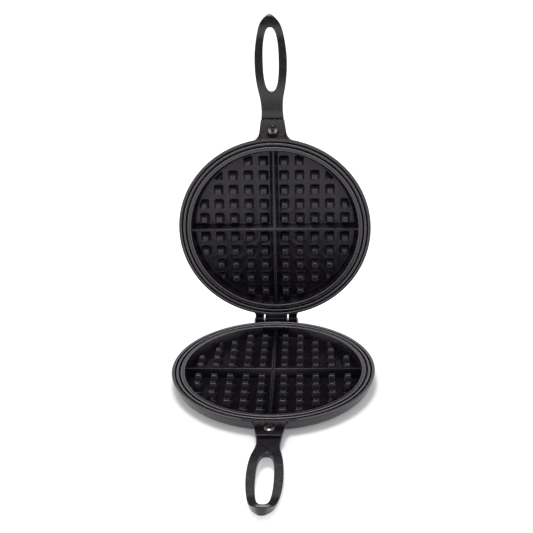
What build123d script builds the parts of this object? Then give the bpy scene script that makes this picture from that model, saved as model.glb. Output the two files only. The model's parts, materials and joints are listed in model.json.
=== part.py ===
from build123d import *
import os
from math import acos, atan2, cos, degrees, hypot, radians, sin, sqrt, tan

# Stovetop waffle iron: two round cast-iron grid plates on a rear hinge, each with
# a bolted loop handle.  The base lies flat and the lid stands open.
# +Z is up and +Y runs back to the hinge.  The origin is the centre of the flat
# underside of the base.  Units: mm.

# --- plates ---------------------------------------------------------------------
plate_diameter = 200.0        # over the rim
plate_height = 16.0           # grid face of the rim down to the flat outer face
closed_gap = 0.4              # between the two rims when the iron is shut
lid_open_angle = 88.0         # where the open lid comes to rest
rim_edge_round = 0.8          # outer edge of the rim
lip_height = 4.5              # outer wall under the rim, before it curves in
lip_inset = 1.2               # how far that wall leans in
root_margin = 0.2             # what joins the wall starts this far inside it
flank_run = 12.0              # rim in to the edge of the flat outer face
# from the rim inwards: lands and drip grooves, then the wall of the cooking recess
outer_land = 3.0
outer_groove_width = 2.0
middle_land = 2.0
inner_groove_width = 2.2
inner_land = 3.5
groove_depth = 2.4
wall_run = 3.8                # how far the recess wall leans in down to its floor
recess_depth = 11.0

# --- waffle grid ----------------------------------------------------------------
peg_pitch = 15.6
first_peg_offset = 10.6       # first row of pegs from the middle of a divider
peg_base = 9.4
peg_top = 5.0
peg_height = 8.5
peg_margin = 2.0              # gap kept free along the foot of the recess wall
divider_base = 8.2
divider_crest = 2.0
divider_height = 9.5

# --- hinge ----------------------------------------------------------------------
hinge_reach = 5.0             # rim out to the hinge axis
hinge_drop = 2.0              # grid face of the base down to the axis
pin_diameter = 5.0
pin_play = 0.06               # radial clearance round the pin
pin_head_diameter = 8.0
pin_head_height = 1.6
pin_head_play = 0.2           # between the ears and the heads of the pin
knuckle_radius = 5.2
knuckle_width = 23.6          # middle knuckle, on the base
knuckle_flare = 3.0           # fillet between the knuckle and the rim
ear_gap = 1.5                 # between the knuckle and each ear of the lid
ear_width = 8.8
ear_flare = 8.0               # fillet between an ear and the rim
hinge_root_depth = 6.6        # roots of the ears and the knuckle, below the rim face
stop_gap = 0.3                # between the open lid's lip and the heel it rests on
stop_depth = 4.0              # thickness of that heel

# --- handle lugs ----------------------------------------------------------------
lug_drop = 2.0                # lug face below the rim face
lug_thickness = 3.6
lug_length = 18.6             # rim to the end of the lug
lug_end_width = 23.4
lug_root_width = 32.0
lug_flare = 11.0              # fillet between the lug and the rim
lug_corner_round = 1.6
shoulder_reach = 1.5          # rim to the flat that the handle butts on

# --- handles --------------------------------------------------------------------
shoulder_play = 0.1           # handle's square end to that flat
seat_play = 0.05              # handle's top to the underside of the lug
seat_length = 22.4            # flat inner end that takes the screw
neck_length = 22.5            # flat end to the eye
eye_length = 60.9
tip_length = 14.6             # eye to the end of the handle
seat_thickness = 6.6
neck_thickness = 5.4
loop_thickness = 4.8
tip_thickness = 9.0
seat_width = 22.4
neck_width = 25.2             # where the eye starts
loop_width = 30.4             # where the loop is widest
tip_width = 22.6              # where the eye ends
nose_width = 19.4             # partway along the tip
nose_offset = 6.6             # that place, past the end of the eye
nose_flat = 10.0              # end of the tip before it is rounded
nose_round = 8.0
nose_blend = 20.0
eye_width = 16.0
eye_end_width = 13.2
eye_end_round = 6.2
hump_offset = 2.5             # hump past the start of the eye
dip_offset = 1.4              # dip before the end of the eye
neck_rise = 6.0               # hump above the flat end
dip_fall = 10.9               # dip below the hump
tip_rise = 9.5                # end of the tip above the dip
seat_bend = 30.0              # radii of the bends along the handle
neck_bend = 60.0
dip_bend = 25.0
handle_edge_round = 1.0

# --- M5 fasteners ---------------------------------------------------------------
screw_reach = 8.0             # rim to the screw
screw_diameter = 5.0
screw_length = 10.0           # under the head
screw_hole_diameter = 5.5
head_diameter = 9.5
head_height = 3.1
head_edge_round = 1.6
head_recess_diameter = 10.6
head_recess_depth = 1.2
cross_length = 5.2            # cross recess of the head
cross_width = 1.1
cross_depth = 1.8
cross_draft = 8.0
nut_across_flats = 8.0
nut_height = 4.0
thread_play = 0.05            # radial, between screw and nut
nut_pocket_play = 0.1         # each side of the nut
nut_pocket_depth = 3.6

# --- derived --------------------------------------------------------------------
plate_radius = plate_diameter / 2
lip_foot_radius = plate_radius - lip_inset
outer_face_radius = plate_radius - flank_run
outer_groove = (plate_radius - outer_land - outer_groove_width, plate_radius - outer_land)
inner_groove_rim = outer_groove[0] - middle_land
inner_groove = (inner_groove_rim - inner_groove_width, inner_groove_rim)
recess_radius = inner_groove[0] - inner_land
floor_radius = recess_radius - wall_run
peg_field_radius = floor_radius - peg_margin
hinge_offset = plate_radius + hinge_reach
lug_end = plate_radius + lug_length
shoulder_offset = plate_radius + shoulder_reach
screw_offset = plate_radius + screw_reach
ear_inner = knuckle_width / 2 + ear_gap
ear_outer = ear_inner + ear_width
pin_head_seat = ear_outer + pin_head_play
peg_taper = degrees(atan2((peg_base - peg_top) / 2, peg_height))
lug_underside = -lug_drop - lug_thickness
head_seat = -lug_drop - head_recess_depth
seat_top = lug_underside - seat_play
nut_seat = seat_top - seat_thickness + nut_pocket_depth
handle_start = shoulder_offset + shoulder_play
seat_end = handle_start + seat_length
eye_start = seat_end + neck_length
eye_end = eye_start + eye_length
eye_middle = (eye_start + eye_end) / 2
handle_end = eye_end + tip_length
handle_depth = dip_fall + loop_thickness - seat_top    # grid face down past the dip of the handle
match = 0.01                  # how near an edge or corner must be to the place it is picked by

# Both plates and everything bolted to them are drawn in one frame, the plate's own:
# origin at the centre of the grid face, z out of that face, y towards the hinge.
plate_plan = Plane.XY
plate_side = Plane.YZ                                            # x to the hinge
handle_plan = Plane((0, 0, 0), x_dir=(0, -1, 0), z_dir=(0, 0, 1))    # x along the handle
handle_side = Plane((0, 0, 0), x_dir=(0, -1, 0), z_dir=(-1, 0, 0))
base_axis_level = -hinge_drop                                    # hinge axis in that frame
lid_axis_level = closed_gap + hinge_drop

# Where the two plates stand.
base_place = Location((0, 0, plate_height))
hinge_centre = Location((0, hinge_offset, plate_height - hinge_drop))
lid_shut = Plane((0, 0, plate_height + closed_gap), x_dir=(-1, 0, 0), z_dir=(0, 0, -1))
lid_swing = hinge_centre * Location((0, 0, 0), (-lid_open_angle, 0, 0)) * hinge_centre.inverse()
lid_place = lid_swing * lid_shut.location


def wall_radius(depth):
    """Radius of the round flank of a plate, at a depth below its grid face."""
    lean = atan2(lip_inset, lip_height)
    width = lip_foot_radius - outer_face_radius
    height = plate_height - lip_height
    bend = (width**2 + height**2) / 2 / (width * cos(lean) - height * sin(lean))
    centre_radius = lip_foot_radius - bend * cos(lean)
    centre_depth = lip_height - bend * sin(lean)
    return centre_radius + sqrt(bend**2 - (depth - centre_depth) ** 2)


def tangent_point(start, centre, radius):
    """Where a line from start touches a circle, turning left round its centre."""
    away = start - centre
    turn = degrees(acos(radius / away.length))
    return centre + away.normalized().rotate(Axis.Z, turn) * radius


def peg_places():
    """Centres of the pegs of one plate, in rows either side of the dividers."""
    steps = range(int(plate_radius // peg_pitch))
    quarter = [first_peg_offset + step * peg_pitch for step in steps]
    rows = [-row for row in reversed(quarter)] + quarter
    return [(x, y) for x in rows for y in rows if hypot(x, y) < peg_field_radius]


# --- waffle grid: tapered pegs, trimmed to the round recess -----------------------
with BuildPart() as pegs:
    with BuildSketch(plate_plan.offset(-recess_depth)):
        with Locations(peg_places()):
            Rectangle(peg_base, peg_base)
    extrude(amount=peg_height, taper=peg_taper)
    with Locations((0, 0, -recess_depth)):
        Cone(
            peg_field_radius,
            peg_field_radius - peg_height * tan(radians(peg_taper)),
            peg_height,
            align=(Align.CENTER, Align.CENTER, Align.MIN),
            mode=Mode.INTERSECT,
        )


def hinge_leaf(axis_level, spans, flare):
    """Knuckle or pair of ears: an outline flared into the rim, cut by its side profile."""
    root_radius = wall_radius(hinge_root_depth) - root_margin
    widest = spans[-1][1]
    centre = Vector(hinge_offset, axis_level)
    foot = Vector(root_radius, -hinge_root_depth)
    with BuildPart() as leaf:
        with BuildSketch(plate_plan.offset(-hinge_root_depth)) as outline:
            Circle(root_radius)
            for inner, outer in spans:
                with Locations(((inner + outer) / 2, 0)):
                    Rectangle(outer - inner, 2 * hinge_offset, align=(Align.CENTER, Align.MIN))
            corners = outline.vertices().filter_by(lambda v: abs(abs(v.X) - widest) < match)
            fillet(corners.filter_by(lambda v: v.Y < plate_radius), radius=flare)
        extrude(amount=hinge_root_depth + axis_level + knuckle_radius)
        with BuildSketch(plate_side):
            Polygon(
                (outer_face_radius, -hinge_root_depth),
                (outer_face_radius, -rim_edge_round),
                (hinge_offset - knuckle_radius, -rim_edge_round),
                (hinge_offset - knuckle_radius, axis_level),
                centre,
                tangent_point(foot, centre, knuckle_radius),
                foot,
                align=None,
            )
            with Locations(centre):
                Circle(knuckle_radius)
        extrude(amount=plate_radius, both=True, mode=Mode.INTERSECT)
    return leaf.part


def plate_casting(leaf):
    """Dished disc with its half of the hinge, lug, recess, drip grooves and grid."""
    with BuildPart() as casting:
        # solid disc: flat grid face, leaning lip, round flank, flat outer face
        with BuildSketch(plate_side) as half_disc:
            with BuildLine():
                lip_foot = (lip_foot_radius, -lip_height)
                lip = Polyline((0, -plate_height), (0, 0), (plate_radius, 0), lip_foot)
                flank = TangentArc(lip_foot, (outer_face_radius, -plate_height), tangent=lip % 1)
                Line(flank @ 1, lip @ 0)
            make_face()
            fillet(half_disc.vertices().sort_by(Axis.X)[-1], radius=rim_edge_round)
        revolve(axis=Axis.Z)
        add(leaf)

        # handle lug, a tapered tongue flared into the rim
        lug_root_radius = wall_radius(-lug_underside) - root_margin
        with BuildSketch(plate_plan.offset(lug_underside)) as tongue:
            Circle(lug_root_radius)
            Polygon(
                (-lug_root_width / 2, -outer_face_radius),
                (lug_root_width / 2, -outer_face_radius),
                (lug_end_width / 2, -lug_end),
                (-lug_end_width / 2, -lug_end),
                align=None,
            )
            fillet(tongue.vertices().group_by(Axis.Y)[0], radius=lug_corner_round)
            fillet(tongue.vertices().filter_by(lambda v: -lug_root_radius < v.Y < 0), radius=lug_flare)
        extrude(amount=lug_thickness)

        # flat shoulder under the lug, for the square end of the handle
        with BuildSketch(handle_side):
            Polygon(
                (floor_radius, lug_underside),
                (shoulder_offset, lug_underside),
                (shoulder_offset, seat_top - seat_thickness),
                (outer_face_radius, -plate_height),
                (floor_radius, -plate_height),
                align=None,
            )
        extrude(amount=seat_width / 2, both=True)

        # cooking recess and the two drip grooves round it
        with BuildSketch(plate_side):
            Polygon(
                (0, -recess_depth),
                (floor_radius, -recess_depth),
                (recess_radius, 0),
                (recess_radius, groove_depth),
                (0, groove_depth),
                align=None,
            )
            for inner, outer in (inner_groove, outer_groove):
                with Locations(((inner + outer) / 2, 0)):
                    Rectangle(outer - inner, 2 * groove_depth)
        revolve(axis=Axis.Z, mode=Mode.SUBTRACT)

        # dividers, crossing at the middle and running into the wall of the recess
        for divider_end in (Plane.YZ, Plane.XZ):
            with BuildSketch(divider_end):
                Polygon(
                    (-divider_base / 2, -recess_depth),
                    (divider_base / 2, -recess_depth),
                    (divider_crest / 2, divider_height - recess_depth),
                    (-divider_crest / 2, divider_height - recess_depth),
                    align=None,
                )
            extrude(amount=recess_radius + root_margin, both=True)
        add(pegs.part)

        # screw hole with a round recess for the head
        with Locations((0, -screw_offset, -lug_drop)):
            CounterBoreHole(
                screw_hole_diameter / 2, head_recess_diameter / 2, head_recess_depth, depth=lug_thickness
            )

    return casting.part


# --- loop handle: a bent band seen from the side, cut to its outline from above -----
bend_places = [
    (handle_start, seat_top),
    (seat_end, seat_top),
    (eye_start + hump_offset, seat_top + neck_rise),
    (eye_end - dip_offset, seat_top + neck_rise - dip_fall),
    (handle_end, seat_top + neck_rise - dip_fall + tip_rise),
]
bend_radii = [seat_bend, neck_bend, dip_bend]
thicknesses = [seat_thickness, seat_thickness, neck_thickness, loop_thickness, tip_thickness]
lower_places = [(along, top - thick) for (along, top), thick in zip(bend_places, thicknesses)]
with BuildPart() as handle:
    with BuildSketch(handle_side):
        with BuildLine():
            upper = FilletPolyline(*bend_places, radius=bend_radii)
            lower = FilletPolyline(*lower_places, radius=bend_radii)
            Line(upper @ 0, lower @ 0)
            Line(upper @ 1, lower @ 1)
        make_face()
    extrude(amount=loop_width, both=True)

    with BuildSketch(handle_plan) as outline:
        with BuildLine():
            loop_side = ThreePointArc(
                (eye_end, tip_width / 2),
                (eye_middle + hump_offset, loop_width / 2),
                (eye_start, neck_width / 2),
            )
            waist = TangentArc(loop_side @ 1, (lug_end, seat_width / 2), tangent=loop_side % 1)
            Polyline(waist @ 1, (handle_start, seat_width / 2), (handle_start, 0))
            Polyline(
                loop_side @ 0,
                (eye_end + nose_offset, nose_width / 2),
                (handle_end, nose_flat / 2),
                (handle_end, 0),
            )
            mirror(about=Plane.XZ)
        make_face()
        fillet(outline.vertices().sort_by(Axis.X)[-2:], radius=nose_round)
        nose_corners = outline.vertices().filter_by(lambda v: abs(abs(v.Y) - nose_width / 2) < match)
        fillet(nose_corners, radius=nose_blend)
    extrude(amount=handle_depth, both=True, mode=Mode.INTERSECT)

    # eye of the loop, with gently bowed sides and round ends
    with BuildSketch(handle_plan) as eye:
        with BuildLine():
            bow = ThreePointArc(
                (eye_start, eye_end_width / 2),
                (eye_middle, eye_width / 2),
                (eye_end, eye_end_width / 2),
            )
            Line(bow @ 0, (eye_start, 0))
            Line(bow @ 1, (eye_end, 0))
            mirror(about=Plane.XZ)
        make_face()
        fillet(eye.vertices().filter_by(lambda v: abs(v.Y) > eye_end_round), radius=eye_end_round)
    extrude(amount=handle_depth, both=True, mode=Mode.SUBTRACT)

    # soft edges all round the upper and lower faces
    walls = handle.faces().filter_by(lambda face: abs(face.normal_at().Z) < match)
    fillet(walls.edges() - walls.edges().filter_by(Axis.Z), radius=handle_edge_round)

    # screw hole, and the pocket below that keeps the nut from turning
    with Locations((0, -screw_offset, seat_top)):
        Hole(screw_hole_diameter / 2, depth=seat_thickness)
    with BuildSketch(plate_plan.offset(seat_top - seat_thickness)):
        with Locations((0, -screw_offset)):
            RegularPolygon(nut_across_flats / 2 + nut_pocket_play, 6, major_radius=False)
    extrude(amount=nut_pocket_depth, mode=Mode.SUBTRACT)

# --- M5 screw: low pan head with a cross recess -------------------------------------
with BuildPart() as screw:
    with Locations((0, -screw_offset, head_seat)):
        Cylinder(screw_diameter / 2, screw_length, align=(Align.CENTER, Align.CENTER, Align.MAX))
        Cylinder(head_diameter / 2, head_height, align=(Align.CENTER, Align.CENTER, Align.MIN))
    fillet(screw.edges().group_by(Axis.Z)[-1], radius=head_edge_round)
    with BuildSketch(plate_plan.offset(head_seat + head_height)):
        with Locations((0, -screw_offset)):
            Rectangle(cross_length, cross_width, rotation=45)
            Rectangle(cross_width, cross_length, rotation=45)
    extrude(amount=-cross_depth, taper=cross_draft, mode=Mode.SUBTRACT)

# --- M5 nut, bevelled on its lower corners ------------------------------------------
with BuildPart() as nut:
    with BuildSketch(plate_plan.offset(nut_seat)):
        with Locations((0, -screw_offset)):
            RegularPolygon(nut_across_flats / 2, 6, major_radius=False)
            Circle(screw_diameter / 2 + thread_play, mode=Mode.SUBTRACT)
    extrude(amount=-nut_height)
    with Locations((0, -screw_offset, nut_seat)):
        Cone(
            nut_across_flats / 2,
            nut_across_flats / 2 + nut_height,
            nut_height,
            align=(Align.CENTER, Align.CENTER, Align.MAX),
            mode=Mode.INTERSECT,
        )

# --- hinge pin: a plain rivet with a low domed head at each end -----------------------
with BuildPart() as hinge_pin:
    with BuildSketch() as half_pin:
        with BuildLine():
            shank = Polyline(
                (0, 0),
                (0, pin_diameter / 2),
                (pin_head_seat, pin_diameter / 2),
                (pin_head_seat, pin_head_diameter / 2),
            )
            dome = TangentArc((pin_head_seat + pin_head_height, 0), shank @ 1, tangent=(0, 1))
            Line(dome @ 0, shank @ 0)
        make_face()
        mirror(about=Plane.YZ)
    revolve(axis=Axis.X)

# --- the two plates, each with its half of the hinge ----------------------------------
knuckle = hinge_leaf(base_axis_level, [(-knuckle_width / 2, knuckle_width / 2)], knuckle_flare)
ears = hinge_leaf(lid_axis_level, [(-ear_outer, -ear_inner), (ear_inner, ear_outer)], ear_flare)
base_casting = plate_casting(knuckle)
lid_casting = plate_casting(ears)
open_lid = Plane(lid_place)
open_lid_side = Plane(open_lid.origin, x_dir=open_lid.y_dir, z_dir=open_lid.x_dir)
lid_axis = Vector(hinge_offset, lid_axis_level)
heel_corner = Vector(lip_foot_radius + stop_gap + stop_depth, -lip_height)

with BuildPart() as base_plate:
    with Locations(base_place):
        add(base_casting)
    # heel behind the knuckle, on which the lip of the open lid comes to rest
    with BuildSketch(open_lid_side):
        Polygon(
            (plate_radius + stop_gap, 0),
            (lip_foot_radius + stop_gap, -lip_height),
            heel_corner,
            tangent_point(heel_corner, lid_axis, knuckle_radius),
            lid_axis,
            align=None,
        )
    extrude(amount=knuckle_width / 2, both=True)
    with Locations(hinge_centre):
        Cylinder(pin_diameter / 2 + pin_play, 2 * pin_head_seat, rotation=(0, 90, 0), mode=Mode.SUBTRACT)

with BuildPart() as lid_plate:
    with Locations(lid_place):
        add(lid_casting)
    with Locations(hinge_centre):
        Cylinder(pin_diameter / 2 + pin_play, 2 * pin_head_seat, rotation=(0, 90, 0), mode=Mode.SUBTRACT)

# --- finished pieces --------------------------------------------------------------------
pieces = {
    "base_plate": base_plate.part,
    "lid_plate": lid_plate.part,
    "hinge_pin": hinge_pin.part.moved(hinge_centre),
    "base_handle": handle.part.moved(base_place),
    "lid_handle": handle.part.moved(lid_place),
    "base_handle_screw": screw.part.moved(base_place),
    "lid_handle_screw": screw.part.moved(lid_place),
    "base_handle_nut": nut.part.moved(base_place),
    "lid_handle_nut": nut.part.moved(lid_place),
}
os.makedirs("parts", exist_ok=True)
for name, piece in pieces.items():
    piece.label = name
    export_step(piece, f"parts/{name}.step")
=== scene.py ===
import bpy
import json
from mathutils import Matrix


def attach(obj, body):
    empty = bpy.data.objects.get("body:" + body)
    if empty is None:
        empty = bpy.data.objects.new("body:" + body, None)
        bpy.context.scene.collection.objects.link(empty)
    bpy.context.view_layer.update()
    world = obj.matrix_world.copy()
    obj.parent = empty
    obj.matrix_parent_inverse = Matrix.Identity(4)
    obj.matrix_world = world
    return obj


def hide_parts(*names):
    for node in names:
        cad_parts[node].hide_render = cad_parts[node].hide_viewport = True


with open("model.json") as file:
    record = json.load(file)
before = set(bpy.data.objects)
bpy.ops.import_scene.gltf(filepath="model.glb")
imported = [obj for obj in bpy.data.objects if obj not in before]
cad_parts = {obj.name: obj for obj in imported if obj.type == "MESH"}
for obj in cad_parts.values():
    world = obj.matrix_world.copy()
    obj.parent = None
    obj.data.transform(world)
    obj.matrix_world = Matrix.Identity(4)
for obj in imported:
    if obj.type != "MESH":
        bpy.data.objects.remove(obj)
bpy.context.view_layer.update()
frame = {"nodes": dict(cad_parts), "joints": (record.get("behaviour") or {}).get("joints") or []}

import json
from math import acos, atan2, copysign, cos, degrees, hypot, pi, radians, sin, sqrt, tan, tau

import bmesh
import bpy
from mathutils import Matrix, Vector

bl_info = {
    "name": "Stovetop waffle iron",
    "version": (1, 0, 0),
    "blender": (4, 5, 0),
    "location": "View3D > Sidebar > Waffle Iron",
    "description": "Castings, fasteners, finishes and studio of a hinged stovetop waffle iron",
    "category": "Object",
}

MM = 0.001
PLATE_SIDES = 256               # sides of a full turn of a plate
SHARP_ANGLE = 34.0              # edges sharper than this stay sharp when shaded
hinge = frame["joints"][0]


# --- node trees ---


def operator_pair(operation):
    """An operator's method and its reflected form, each of which adds one Math node."""
    return (
        lambda wire, other: wire.math(operation, wire, other),
        lambda wire, other: wire.math(operation, other, wire),
    )


class Wire:
    """An output socket of a node tree. Arithmetic on it adds Math nodes to that tree."""

    __add__, __radd__ = operator_pair("ADD")
    __sub__, __rsub__ = operator_pair("SUBTRACT")
    __mul__, __rmul__ = operator_pair("MULTIPLY")
    __truediv__, __rtruediv__ = operator_pair("DIVIDE")
    __gt__, __lt__ = operator_pair("GREATER_THAN")

    def __init__(self, tree, socket=None):
        self.tree, self.socket = tree, socket

    def node(self, kind, settings=None, inputs=None, out=0):
        """Adds one node: its settings first, then the values or links of its sockets."""
        made = self.tree.nodes.new(kind)
        for name, value in (settings or {}).items():
            setattr(made, name, value)
        for key, value in (inputs or {}).items():
            if isinstance(value, Wire):
                self.tree.links.new(value.socket, made.inputs[key])
            else:
                made.inputs[key].default_value = value
        return Wire(self.tree, made.outputs[out] if len(made.outputs) else None)

    def sibling(self, name):
        """Another output of the node that this one comes from."""
        return Wire(self.tree, self.socket.node.outputs[name])

    def math(self, operation, *values):
        return self.node("ShaderNodeMath", {"operation": operation}, dict(enumerate(values)))

    def clamp(self):
        return self.node("ShaderNodeClamp", None, {0: self})


def grey(value):
    return (value, value, value, 1.0)


def mix_colours(mask, first, second):
    """Colour that goes from first to second as mask goes from 0 to 1."""
    settings = {"data_type": "RGBA", "clamp_factor": True}
    ends = [end if isinstance(end, Wire) else (*end, 1.0) for end in (first, second)]
    return mask.node("ShaderNodeMix", settings, {0: mask, 6: ends[0], 7: ends[1]}, out=2)


def new_material(name, tint):
    """Empty material, its node tree cleared, and a wire to start building from."""
    material = bpy.data.materials.new(name)
    material.use_nodes = True
    material.diffuse_color = (*tint, 1.0)
    material.node_tree.nodes.clear()
    return material, Wire(material.node_tree)


def place_on_object(start):
    return start.node("ShaderNodeTexCoord").sibling("Object")


def noise(place, size_mm, detail, roughness=0.5):
    """Noise whose lumps are about this many millimetres across, round a middle of 0.5."""
    inputs = {"Vector": place, "Scale": 1000.0 / size_mm, "Detail": detail, "Roughness": roughness}
    return place.node("ShaderNodeTexNoise", None, inputs).sibling("Fac")


def bumped(height, depth_mm, below=None):
    """Normal of a surface raised by height, from 0 to 1, times a depth."""
    inputs = {"Height": height, "Distance": depth_mm * MM}
    if below is not None:
        inputs["Normal"] = below
    return height.node("ShaderNodeBump", None, inputs)


def attribute(start, name):
    return start.node("ShaderNodeAttribute", {"attribute_name": name}).sibling("Fac")


def finish_surface(shader, with_painted_shade=False):
    """Ends a material, under a matt near-black of painted shade wherever one with painted shade has its
    mesh marked for it.
    """
    if with_painted_shade:
        shade_paint = shader.node("ShaderNodeBsdfDiffuse", None, {"Color": SHADE_PAINT_COLOUR, "Roughness": 1.0})
        mask = attribute(shader, "painted_shade")
        shader = shader.node("ShaderNodeMixShader", None, {0: mask, 1: shader, 2: shade_paint})
    shader.node("ShaderNodeOutputMaterial", None, {"Surface": shader})


# --- shapes ---


def arc(centre, radius, first, last, steps):
    """Points of a circular arc between two angles in degrees."""
    turns = [radians(first + (last - first) * step / steps) for step in range(steps + 1)]
    return [centre + Vector((cos(turn), sin(turn))) * radius for turn in turns]


def rounded(corners, steps=3):
    """Line through 2-D corners given as (x, y, radius), each corner rounded to its radius."""
    line = []
    for index, (x, y, radius) in enumerate(corners):
        here = Vector((x, y))
        if radius == 0 or index in (0, len(corners) - 1):
            line.append(here)
            continue
        back = (Vector(corners[index - 1][:2]) - here).normalized()
        on = (Vector(corners[index + 1][:2]) - here).normalized()
        half = back.angle(on) / 2
        centre = here + (back + on).normalized() * radius / sin(half)
        start = here + back * radius / tan(half) - centre
        end = here + on * radius / tan(half) - centre
        line += [centre + start.slerp(end, step / steps) * radius for step in range(steps + 1)]
    return line


def dome(radius, height, top, steps):
    """Side line of a cap from its rim to its pole, which is at this level."""
    bend = (height**2 + radius**2) / 2 / height
    rim = degrees(acos(radius / bend))
    return [*arc(Vector((0, top - bend)), bend, rim, 90.0, steps)[:-1], Vector((0, top))]


def hexagon(across):
    """Corners of a hexagon this wide across its flats."""
    reach, turns = across / 2 / cos(pi / 6), [radians(60 * corner + 30) for corner in range(6)]
    return [(reach * sin(turn), reach * cos(turn)) for turn in turns]


def add_object(name, data):
    made = bpy.data.objects.new(name, data)
    bpy.context.scene.collection.objects.link(made)
    return made


def new_piece(name, form):
    """Object with no placement of its own, made from a bmesh, which is freed."""
    bmesh.ops.recalc_face_normals(form, faces=form.faces[:])
    mesh = bpy.data.meshes.new(name)
    form.to_mesh(mesh)
    form.free()
    return add_object(name, mesh)


def stitch(form, rings):
    """Quads between neighbouring rings of vertices, where one vertex is a pole, and both ends."""
    for lower, upper in zip(rings, rings[1:]):
        count = max(len(lower), len(upper))
        for here in range(count):
            on = (here + 1) % count
            corners = [lower[here % len(lower)], lower[on % len(lower)]]
            corners += [upper[on % len(upper)], upper[here % len(upper)]]
            form.faces.new(list(dict.fromkeys(corners)))
    for end in (rings[0], rings[-1]):
        if len(end) > 1:
            form.faces.new(end)


def solid(name, rings):
    """Closed solid whose rings of places are joined in turn."""
    form = bmesh.new()
    stitch(form, [[form.verts.new(place) for place in ring] for ring in rings])
    return new_piece(name, form)


def lathe(name, profile, segments):
    """Solid turned about z from (radius, z) points; it starts and ends on the axis."""
    rings = []
    for radius, z in profile:
        turns = [tau * step / segments for step in range(segments)] if radius > 1e-9 else [0.0]
        rings.append([(radius * cos(turn), radius * sin(turn), z) for turn in turns])
    return solid(name, rings)


def cylinder(name, radius, low, high, segments):
    return lathe(name, [(0, low), (radius, low), (radius, high), (0, high)], segments)


def prism(name, outline, low, high, axes):
    """Solid with a 2-D outline, from low to high along the third axis of axes."""
    return solid(name, [[axes @ Vector((x, y, level)) for x, y in outline] for level in (low, high)])


def settle(piece):
    """Turns a piece and its modifiers into a plain mesh."""
    bpy.context.view_layer.update()
    graph = bpy.context.evaluated_depsgraph_get()
    mesh = bpy.data.meshes.new_from_object(piece.evaluated_get(graph))
    mesh.name = piece.name
    piece.modifiers.clear()
    piece.data = mesh


def soften(piece, width, segments=2, angle=32.0):
    """Rounds the edges of a piece that are sharper than an angle in degrees."""
    bevel = piece.modifiers.new("soften", "BEVEL")
    bevel.width, bevel.segments = width, segments
    bevel.limit_method, bevel.angle_limit = "ANGLE", radians(angle)
    settle(piece)


def combine(piece, operation, *tools):
    """Joins tools to a piece, cuts them out of it or keeps what they share, in turn."""
    for tool in tools:
        cut = piece.modifiers.new("combine", "BOOLEAN")
        cut.operation, cut.solver, cut.object = operation, "MANIFOLD", tool
        settle(piece)
        bpy.data.objects.remove(tool)


def smooth(piece):
    """Smooth shading, with flat faces kept flat beside their rounded edges."""
    piece.data.shade_smooth()
    piece.data.set_sharp_from_angle(angle=radians(SHARP_ANGLE))
    weigh = piece.modifiers.new("weigh", "WEIGHTED_NORMAL")
    weigh.keep_sharp, weigh.weight = True, 100
    settle(piece)


def dress(piece, finish, slot, body, *nodes):
    """Gives a piece its finish, and lets it ride on a body in place of CAD nodes; its slot argument is not
    used.
    """
    smooth(piece)
    piece.data.materials.clear()
    piece.data.materials.append(bpy.data.materials[finish])
    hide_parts(*nodes)
    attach(piece, body)


ALONG_Z = Matrix.Identity(3)
ALONG_X = Matrix(((0, 0, 1), (1, 0, 0), (0, 1, 0)))
ALONG_Y = Matrix(((1, 0, 0), (0, 0, 1), (0, 1, 0)))


# --- settings that a user may change ---


def number(name, description, default, **limits):
    return bpy.props.FloatProperty(name=name, description=description, default=default, **limits)


def length(name, description, millimetres):
    """A length, given here in millimetres."""
    return number(name, description, millimetres * MM, unit="LENGTH", min=0.0, precision=5)


def share(name, description, default):
    return number(name, description, default, subtype="FACTOR", min=0.0, max=1.0)


def triple(name, description, default, **limits):
    return bpy.props.FloatVectorProperty(
        name=name, description=description, default=default, size=3, **limits
    )


def metres(name, description, default):
    """Three distances, given here in metres."""
    return triple(name, description, default, unit="LENGTH")


def colour(name, description, default):
    return triple(name, description, default, subtype="COLOR", min=0.0, max=1.0)


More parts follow.
